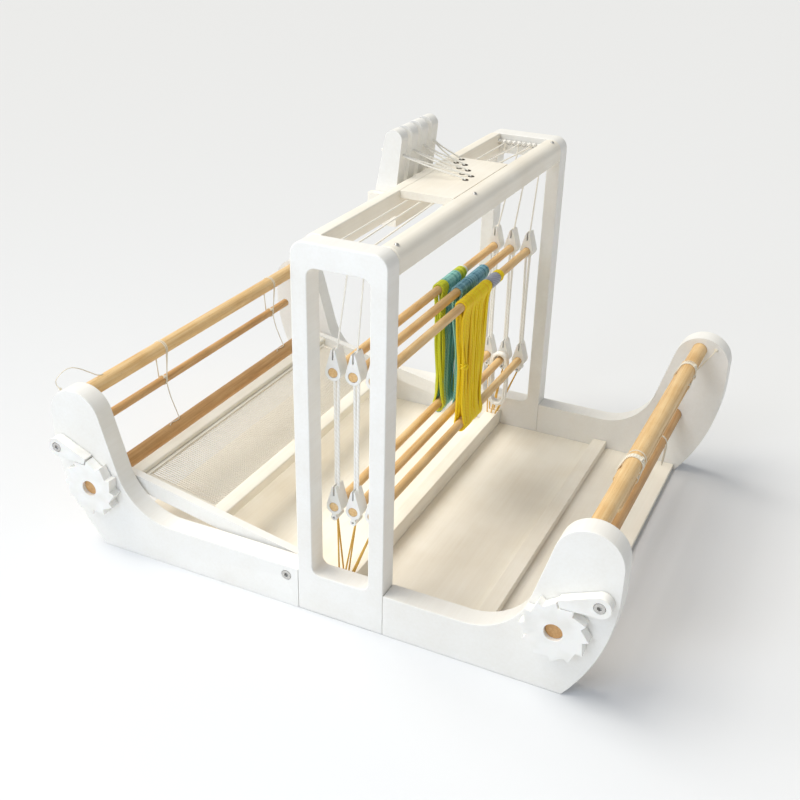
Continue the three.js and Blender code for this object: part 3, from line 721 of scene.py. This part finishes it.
reed_low, reed_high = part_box("reed")
reed_middle = middle("reed")
reed_length = (reed_high.y - reed_low.y) / np.cos(reed_tilt) - 1.0 * mm
inner = reed_middle - reed_down * (reed_length / 2)
outer = reed_middle + reed_down * (reed_length / 2)
reed_span = reed_high.x - reed_low.x
x_way = np.array([1.0, 0, 0])
wire_count = int((reed_span - 8 * mm) / reed_wire_pitch)
wire_x = (np.arange(wire_count) - (wire_count - 1) / 2) * reed_wire_pitch
wires = [
    bar_between(inner + x_way * x, outer + x_way * x, reed_wire_width, reed_wire_depth, x_way, reed_out)
    for x in wire_x
]
end_x = reed_span / 2 - 2 * mm
posts = [
    bar_between(inner + x_way * x, outer + x_way * x, 4 * mm, 3 * mm, x_way, reed_out)
    for x in (end_x, -end_x)
]
reed_metal = turned_steel("polished_flat_reed_wire", "#F6F1E6", "#E2DBCC", 0.25)
made = piece("reed_wires", wires + posts, reed_metal, "beater")
made.data.shade_flat()
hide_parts("reed")
band_thickness = 4.6 * mm
half_span = x_way * reed_span / 2
bands = [
    bar_between(centre - half_span, centre + half_span, reed_band, band_thickness, reed_down, reed_out)
    for centre in (inner + reed_down * reed_band / 2, outer - reed_down * reed_band / 2)
]
made = piece("reed_bands", bands, strip_paint, "beater")
made.data.shade_flat()

# ---- Heddles ----
# Each shaft carries its own bunch of loops of twisted polyester cord. A loop goes over the upper rod and
# under the lower one, and its two legs hang close together in between.
upper_z = middle("shaft_1_upper_rod")[2]
lower_z = middle("shaft_1_lower_rod")[2]
heddle_radius = 1.35 * mm
heddle_pitch = 2.8 * mm
rng = np.random.default_rng(7)


def heddle_loops(x_top, x_low, y, slack):
    """Closed loops (one for each x_top) from above the upper rod to below the lower rod. The legs stand
    off by a pinch of their own, plus a part that grows exponentially to the rod's radius near each rod,
    and they sway by a millimetre or so on slow sines."""
    count = len(x_top)
    turn = np.linspace(0, np.pi, 9)
    down = np.linspace(0, 1, 22)[1:-1]
    reach = shaft_rod_radius + heddle_radius
    drop = upper_z - lower_z
    leg_z = upper_z - down * drop
    near_top = np.exp(-(down * drop) / (9 * mm))
    near_low = np.exp(-((1 - down) * drop) / (13 * mm))
    pinch = rng.uniform(0.9, 4.6, (count, 1)) * mm
    off = pinch + (reach - pinch) * np.maximum(near_top, near_low)
    under = (slack[:, None] + reach) * np.sin(turn)[None]
    rod_turn = np.tile(reach * np.cos(turn), (count, 1))
    offsets = np.concatenate([rod_turn, -off, -rod_turn, off[:, ::-1]], 1)
    over = np.tile(upper_z + reach * np.sin(turn), (count, 1))
    legs = np.tile(leg_z, (count, 1))
    z = np.concatenate([over, legs, lower_z - under, legs[:, ::-1]], 1)
    share = np.clip((upper_z - z) / drop, 0, 1)
    ease = share * share * (3 - 2 * share)
    sway = rng.uniform(-1, 1, (count, 4, 1)) * mm
    wave = sway[:, 0] * np.sin(share * np.pi) * 1.6 + sway[:, 1] * np.sin(share * 2 * np.pi)
    x = x_top[:, None] * (1 - ease) + x_low[:, None] * ease + wave
    shift = (sway[:, 2] * np.sin(share * np.pi) + sway[:, 3] * np.sin(share * 3 * np.pi)) * 1.1
    return np.stack([x, y + offsets + shift, z], -1)


def heddle_bunch(name, shaft, spans, material, gather, shift=0.0):
    """A bunch of loops side by side over spans of the upper rod, drawn together towards the lower rod."""
    x_top = np.concatenate([np.arange(a + heddle_pitch / 2, b, heddle_pitch) for a, b in spans])
    x_top += rng.uniform(-0.2, 0.2, len(x_top)) * mm
    centre = (spans[0][0] + spans[-1][1]) / 2
    x_low = centre + shift + (x_top - centre) * gather + rng.uniform(-2, 2, len(x_top)) * mm
    slack = rng.uniform(0.5, 6.0, len(x_top)) * mm
    y = middle(f"{shaft}_upper_rod")[1]
    loops = heddle_loops(x_top, x_low, y, slack)
    return piece(name, [strands(loops, heddle_radius, 8, closed=True)], material, shaft)


yellow = twisted_cord("polyester_heddle_cord_yellow", "#FFE800", "#F7CE00", 0.5, 0.2)
green = twisted_cord("polyester_heddle_cord_yellow_green", "#E2E62C", "#A9B414", 0.5, 0.2)
teal = twisted_cord("polyester_heddle_cord_teal", "#A8E2DA", "#55A8A2", 0.5, 0.2)
blue = twisted_cord(
    "polyester_heddle_cord_blue_over_teal", "#A8E2DA", "#55A8A2", 0.5, 0.2,
    top=(upper_z - 7 * mm, "#8CC0D2", "#3A7C96"),
)
lavender = twisted_cord("polyester_heddle_cord_grey_lavender", "#BCC0CE", "#84899E", 0.5, 0.2)
white_cord = twisted_cord("polyester_cord_white", "#FEFDF9", "#F3EFE6", 0.6, 0.15)

low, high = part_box("shaft_1_heddles")
green_part = 17 * mm
teal_from, teal_to = low.x + green_part, high.x - green_part
green_spans = [(low.x, teal_from), (teal_to, high.x)]
made = heddle_bunch(
    "shaft_1_green_heddles", "shaft_1", green_spans, green, gather=0.62
)
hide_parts("shaft_1_heddles")
heddle_bunch(
    "shaft_1_teal_heddles", "shaft_1", [(teal_from, teal_to)], teal,
    gather=0.85, shift=4 * mm,
)
low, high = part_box("shaft_2_heddles")
made = heddle_bunch(
    "shaft_2_blue_heddles", "shaft_2", [(low.x, high.x)], blue,
    gather=0.36, shift=6 * mm,
)
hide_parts("shaft_2_heddles")
low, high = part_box("shaft_3_heddles")
made = heddle_bunch(
    "shaft_3_yellow_heddles", "shaft_3", [(low.x, high.x)], yellow,
    gather=0.72, shift=-2 * mm,
)
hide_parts("shaft_3_heddles")
knot_place = np.array([high.x - 9 * mm, middle("shaft_3_upper_rod")[1] + 4 * mm, lower_z + 78 * mm])
bunch_knot = [knot(knot_place, 4.2 * mm, 1.3 * mm)]
piece("shaft_3_yellow_knot", bunch_knot, yellow, "shaft_3")


def rod_rings(shaft, x, turns, pitch, radius, stand_off, steps=26):
    """Turns of cord round a shaft's upper rod at x, with the cord's middle stand_off from the rod."""
    centre = at_x(middle(f"{shaft}_upper_rod"), x)
    return strands(wraps(centre, shaft_rod_radius + stand_off, turns, pitch, steps=steps), radius, 6)


ring_radius = 1.05 * mm
binding = rod_rings("shaft_3", low.x - 15 * mm, 12, 2.1 * mm, ring_radius, heddle_radius, 18)
piece("shaft_3_lavender_binding", [binding], lavender, "shaft_3")
rings = [
    rod_rings("shaft_3", low.x - offset * mm, 1.5, 2.2 * mm, ring_radius, heddle_radius)
    for offset in (32, 36.5)
]
piece("shaft_3_yellow_rings", rings, yellow, "shaft_3")
low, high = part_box("shaft_1_heddles")
rings = [rod_rings("shaft_1", low.x - 3.5 * mm, 1.5, 2 * mm, 0.8 * mm, 0.9 * mm)]
piece("shaft_1_white_rings", rings, white_cord, "shaft_1")

# ---- Spare heddle cord ----
# A hank of loops of white polyester cord, hung over the lower rod of the middle shaft at its far end, so
# that it rises with the shaft.
low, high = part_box("spare_hank")
hank = middle("spare_hank")
hank_loops = 12
hank_half_width = 14 * mm
inside, outside = 8.5 * mm, 12.6 * mm
turn = np.linspace(0, 2 * np.pi, 48, endpoint=False)
hank_paths = []
for loop in range(hank_loops):
    half_width = inside + (outside - inside) * ((loop * 5) % hank_loops) / hank_loops
    half_height = (high.z - low.z) / 2 - (hank_half_width - half_width)
    straight_part = half_height - half_width
    y = hank[1] + half_width * np.cos(turn)
    z = hank[2] + half_width * np.sin(turn) + straight_part * np.tanh(3 * np.sin(turn))
    x = hank[0] + ((loop % 4) - 1.5) * 2.6 * mm + 0.7 * mm * np.sin(2 * turn + loop)
    hank_paths.append(np.stack([x, y, z], -1))
made = piece(
    "spare_heddle_hank", [strands(hank_paths, 1.1 * mm, 6, closed=True)], white_cord, "shaft_2",
)
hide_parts("spare_hank")

# ---- Straps between the rods ----
# On each end of a shaft two round white cords run from the upper holder to the lower one and hold the
# rods at their distance.
strap_radius = 1.7 * mm
strap_half_gap = 1.9 * mm
strap_steps = [
    (1.0, 1.7, upper_z - 6 * mm), (0.9, 1.5, upper_z - 22 * mm), (0.6, 1.0, (upper_z + lower_z) / 2),
    (0.5, 1.0, lower_z + 34 * mm), (0.5, 1.0, lower_z + 19 * mm),
]
for shaft in shafts:
    parts = []
    rod_y = middle(f"{shaft}_upper_rod")[1]
    for side in ("near", "far"):
        x = middle(f"{shaft}_{side}_upper_holder")[0]
        for gap in (-strap_half_gap, strap_half_gap):
            points = [(x + across * gap, rod_y + along * gap, z) for across, along, z in strap_steps]
            parts.append(strands(through(points, 5), strap_radius, 8, side=(0, 1, 0)))
    piece(f"{shaft}_straps", parts, white_cord, shaft)

# ---- Elastics ----
# Golden rubber cord, hooked to the eye under each lower holder and tied to the foot rail, pulls the shaft
# back down. On the loom it stretches when the shaft rises; here it is drawn once, at rest, fixed in place.
gold = twisted_cord("braided_golden_elastic", "#EFC25C", "#C4923A", 0.5, 0.3)
foot_low, foot_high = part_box("foot_rail")
foot_middle_y = (foot_low.y + foot_high.y) / 2
middle_rod_y = middle("shaft_2_lower_rod")[1]
hook_below_rod = 13 * mm
foot_spread = 5 * mm
foot_gather = 0.25  # the three elastics of a side come this much closer at the foot rail


def straight(start, end, steps):
    """Evenly spaced points from start to end."""
    way = np.linspace(0, 1, steps)[:, None]
    return start * (1 - way) + end * way


for shaft in shafts:
    y = middle(f"{shaft}_lower_rod")[1]
    for side in ("near", "far"):
        x = middle(f"{shaft}_{side}_lower_holder")[0]
        hook = np.array([x, y, lower_z - hook_below_rod])
        foot_y = foot_middle_y + foot_gather * (y - middle_rod_y)
        parts = [strands(wraps(hook, 2.2 * mm, 1.5, 1.4 * mm, steps=16), 0.9 * mm, 6)]
        for spread in (-foot_spread, foot_spread):
            foot = np.array([x + spread, foot_y, foot_high.z - 1.0 * mm])
            parts.append(strands(straight(hook, foot, 12), 0.95 * mm, 8))
        made = piece(f"{shaft}_{side}_elastic", parts, gold, None)
        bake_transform(made)

# ---- Lift cords ----
# From each lever a doubled cord goes down through the cord plate. Under it one cord runs to each end of
# the castle, through a screw eye, and down to its shaft's holder. The fourth lever has no shaft hung.
lift_radius = 1.0 * mm
lever_lean = np.radians(8)
lever_hole_up = 62 * mm
lever_half_width = 10.6 * mm
plate_low, plate_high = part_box("cord_plate")
channel_z = plate_low.z - 1.6 * mm
castle_y = middle("near_castle_frame")[1]
hole_shift_x = -27 * mm
first_hole_y = 14 * mm
hole_step_x = -20 * mm
hole_step_y = -12 * mm
hole_spread = 8 * mm
hole_shade_ring_radius = 2.9 * mm
eye_y = [castle_y + offset * mm for offset in (27, 12, -4, -21)]
eye_inset = 5.5 * mm
shaft_of_lever = {1: "shaft_3", 2: "shaft_2", 3: "shaft_1"}
lift_cord = twisted_cord("braided_cotton_lift_cord", "#FFFDF6", "#EFE8D8", 0.7, 0.15)
near_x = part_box("near_castle_frame")[0].x - eye_inset
far_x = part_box("far_castle_frame")[1].x + eye_inset
axle = middle("lever_axle")
first_lever_x = middle("lever_1")[0]


def on_lever(x, forward, up):
    """A point of a lever at rest: forward is square to the leaning blade, up is along it from the axle."""
    return np.array(
        [
            x,
            axle[1] + forward * np.cos(lever_lean) + up * np.sin(lever_lean),
            axle[2] + up * np.cos(lever_lean) - forward * np.sin(lever_lean),
        ]
    )


def ring_of(radius, first, second, sides):
    """Points of a circle spanned by two directions."""
    angle = np.linspace(0, 2 * np.pi, sides, endpoint=False)[:, None]
    return radius * (np.cos(angle) * np.array(first) + np.sin(angle) * np.array(second))


eyes = []
hole_shade_rings = []
# The near-black rings round the cord plate's holes are painted shade: they stand for the holes' shadowed
# insides.
dark_hole_shade = turned_steel("dark_rings_painted_as_hole_shade", "#4A3A2C", "#2A2019")
under_plate = 4 * mm
drop_start = 8 * mm
holder_top = 17 * mm
knot_up = 6.5 * mm
for number in range(1, 5):
    lever_x = middle(f"lever_{number}")[0]
    pair_x = first_lever_x + hole_shift_x + (number - 1) * hole_step_x
    hole_y = castle_y + first_hole_y + (number - 1) * hole_step_y
    upper_parts, runs = [], []
    for sign, end_x in ((1, near_x), (-1, far_x)):
        start_x = lever_x + sign * 0.9 * mm
        hole = np.array([pair_x + sign * hole_spread, hole_y, plate_high.z])
        shade_ring = ring_of(hole_shade_ring_radius, (1, 0, 0), (0, 1, 0), 24)
        hole_shade_rings.append(strands(hole + shade_ring, 0.55 * mm, 8, closed=True, side=(0, 0, 1)))
        leaving = on_lever(start_x, lever_half_width, lever_hole_up)
        below = hole + [sign * 0.4 * mm, 0, -under_plate]
        points = [
            on_lever(start_x, -(lever_half_width + 0.6 * mm), lever_hole_up),
            on_lever(start_x, 0, lever_hole_up),
            leaving,
            0.65 * leaving + 0.35 * hole + [0, 0, -0.6 * mm],
            0.3 * leaving + 0.7 * hole + [0, 0, 0.2 * mm],
            hole + [0, -3.2 * mm, 1.6 * mm],
            hole + [0, -0.8 * mm, 0.2 * mm],
            below,
        ]
        upper_parts.append(strands(through(points, 4), lift_radius, 6))
        eye = np.array([end_x, eye_y[number - 1], channel_z])
        top = eye + [0, 0, -drop_start]
        run = [
            below,
            below + [sign * 1.2 * mm, 0, -3.6 * mm],
            np.array([below[0] + sign * 6 * mm, below[1], channel_z + 0.3 * mm]),
            np.array([below[0] + sign * 20 * mm, below[1] * 0.9 + eye[1] * 0.1, channel_z]),
            eye - [sign * 30 * mm, 0, 0],
            eye - [sign * 6 * mm, 0, 0],
            eye - [sign * 1.5 * mm, 0, 0.4 * mm],
            eye + [0, 0, -3 * mm],
            top,
        ]
        runs.append(strands(through(run, 5), lift_radius, 6, side=(0, 1, 0)))
        if number in shaft_of_lever:
            shaft = shaft_of_lever[number]
            side = "near" if sign > 0 else "far"
            holder = middle(f"{shaft}_{side}_upper_holder")
            tip = np.array([holder[0], middle(f"{shaft}_upper_rod")[1], upper_z + holder_top])
            drop = [
                strands(straight(top, tip, 14), lift_radius, 6),
                knot(tip + [0, 0, knot_up], 1.9 * mm, 0.7 * mm),
            ]
            made = piece(f"lift_cord_{number}_{side}_drop", drop, lift_cord, None)
            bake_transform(made)
        else:
            runs.append(knot(top, 2.2 * mm, 0.8 * mm))
    made = piece(f"lift_cord_{number}_at_lever", upper_parts, lift_cord, None)
    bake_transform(made)
    piece(f"lift_cord_{number}_runs", runs, lift_cord, "loom")
    behind = on_lever(lever_x, -(lever_half_width + 2.2 * mm), lever_hole_up)
    lever_knot = [knot(behind, 2.0 * mm, 0.8 * mm)]
    piece(f"lever_{number}_knot", lever_knot, lift_cord, f"lever_{number}")
eye_radius = 2.2 * mm
eye_count = 10
eye_row_half = 29 * mm
knots = []
for sign, end_x in ((1, near_x), (-1, far_x)):
    for y in np.linspace(castle_y - eye_row_half, castle_y + eye_row_half, eye_count):
        eye = np.array([end_x, y, channel_z])
        eyes.append(strands(eye + ring_of(eye_radius, (0, 1, 0), (0, 0, 1), 16), 0.6 * mm, 6, closed=True))
        shank = [eye + [sign * 0.3 * mm, 0, eye_radius], eye + [sign * (eye_inset + 1 * mm), 0, eye_radius]]
        eyes.append(strands(shank, 0.7 * mm, 8, side=(0, 1, 0)))
        knots.append(knot(eye + [-sign * 0.6 * mm, 0, 1.6 * mm], 2.3 * mm, 0.85 * mm))
piece("screw_eye_knots", knots, white_cord, "loom")
# Painted shade: dark rings that darken the cord plate's holes.
piece("cord_plate_hole_shade_rings", hole_shade_rings, dark_hole_shade, "loom")
piece("screw_eyes", eyes, zinc, "loom")

# ---- Floor and light ----
# A pale matt floor, broad sunlight from the weaver's side, and a weak cool lamp and sky that fill the
# shadows.
floor_paint = plain_material("pale_matt_studio_floor", {"Base Color": linear("#E3E5E8"), "Roughness": 0.9})
floor_half = 30.0
floor_drop = -0.2 * mm
floor_mesh = bpy.data.meshes.new("studio_floor")
corners = [(x * floor_half, y * floor_half, floor_drop) for x, y in ((-1, -1), (1, -1), (1, 1), (-1, 1))]
floor_mesh.from_pydata(corners, [], [(0, 1, 2, 3)])
floor_mesh.materials.append(floor_paint)
studio_floor = bpy.data.objects.new("studio_floor", floor_mesh)
bpy.context.scene.collection.objects.link(studio_floor)

# A pale wall far round the floor, so that the floor ends in the same tone and not in a dark skyline. Only
# the camera sees it: it throws no light and no shadow.
wall_glow = {
    "Base Color": linear("#000000"), "Specular IOR Level": 0.0, "Emission Color": linear("#EBECE9"),
    "Emission Strength": 1.0,
}
wall_radius = 25.0
wall_levels = (-0.01, 14.0)
wall_sides = 96
turns = [2 * np.pi * k / wall_sides for k in range(wall_sides)]
points = [(wall_radius * np.cos(t), wall_radius * np.sin(t), z) for z in wall_levels for t in turns]
pairs = [(k, (k + 1) % wall_sides) for k in range(wall_sides)]
wall_mesh = bpy.data.meshes.new("studio_wall")
wall_mesh.from_pydata(points, [], [(a, a + wall_sides, b + wall_sides, b) for a, b in pairs])
wall_mesh.materials.append(plain_material("even_glow_studio_wall", wall_glow))
studio_wall = bpy.data.objects.new("studio_wall", wall_mesh)
studio_wall.visible_diffuse = False
studio_wall.visible_glossy = False
studio_wall.visible_transmission = False
studio_wall.visible_shadow = False
bpy.context.scene.collection.objects.link(studio_wall)


def place_light(name, data, way):
    """A light that shines along way."""
    made = bpy.data.objects.new(name, data)
    made.rotation_euler = Vector(way).to_track_quat("-Z", "Y").to_euler()
    bpy.context.scene.collection.objects.link(made)
    return made


window = bpy.data.lights.new("window_light", "SUN")
window.energy = 2.65
window.angle = np.radians(45)
window.color = linear("#FFFAF0")[:3]
place_light("window_light", window, (-0.10, 0.52, -0.85))
cool_fill = bpy.data.lights.new("cool_fill", "AREA")
cool_fill.size = 0.9
cool_fill.energy = 7.9
cool_fill.color = linear("#E2EEFF")[:3]
fill_place = Vector((1.45, -0.35, 0.9))
fill_way = Vector((0, -0.05, 0.2)) - fill_place
place_light("cool_fill", cool_fill, fill_way).location = fill_place
world = bpy.data.worlds.new("studio")
world.use_nodes = True
sky = world.node_tree.nodes["Background"]
sky.inputs["Color"].default_value = linear("#F0F3F6")
sky.inputs["Strength"].default_value = 0.43
bpy.context.scene.world = world
bpy.context.scene.view_settings.view_transform = "Standard"
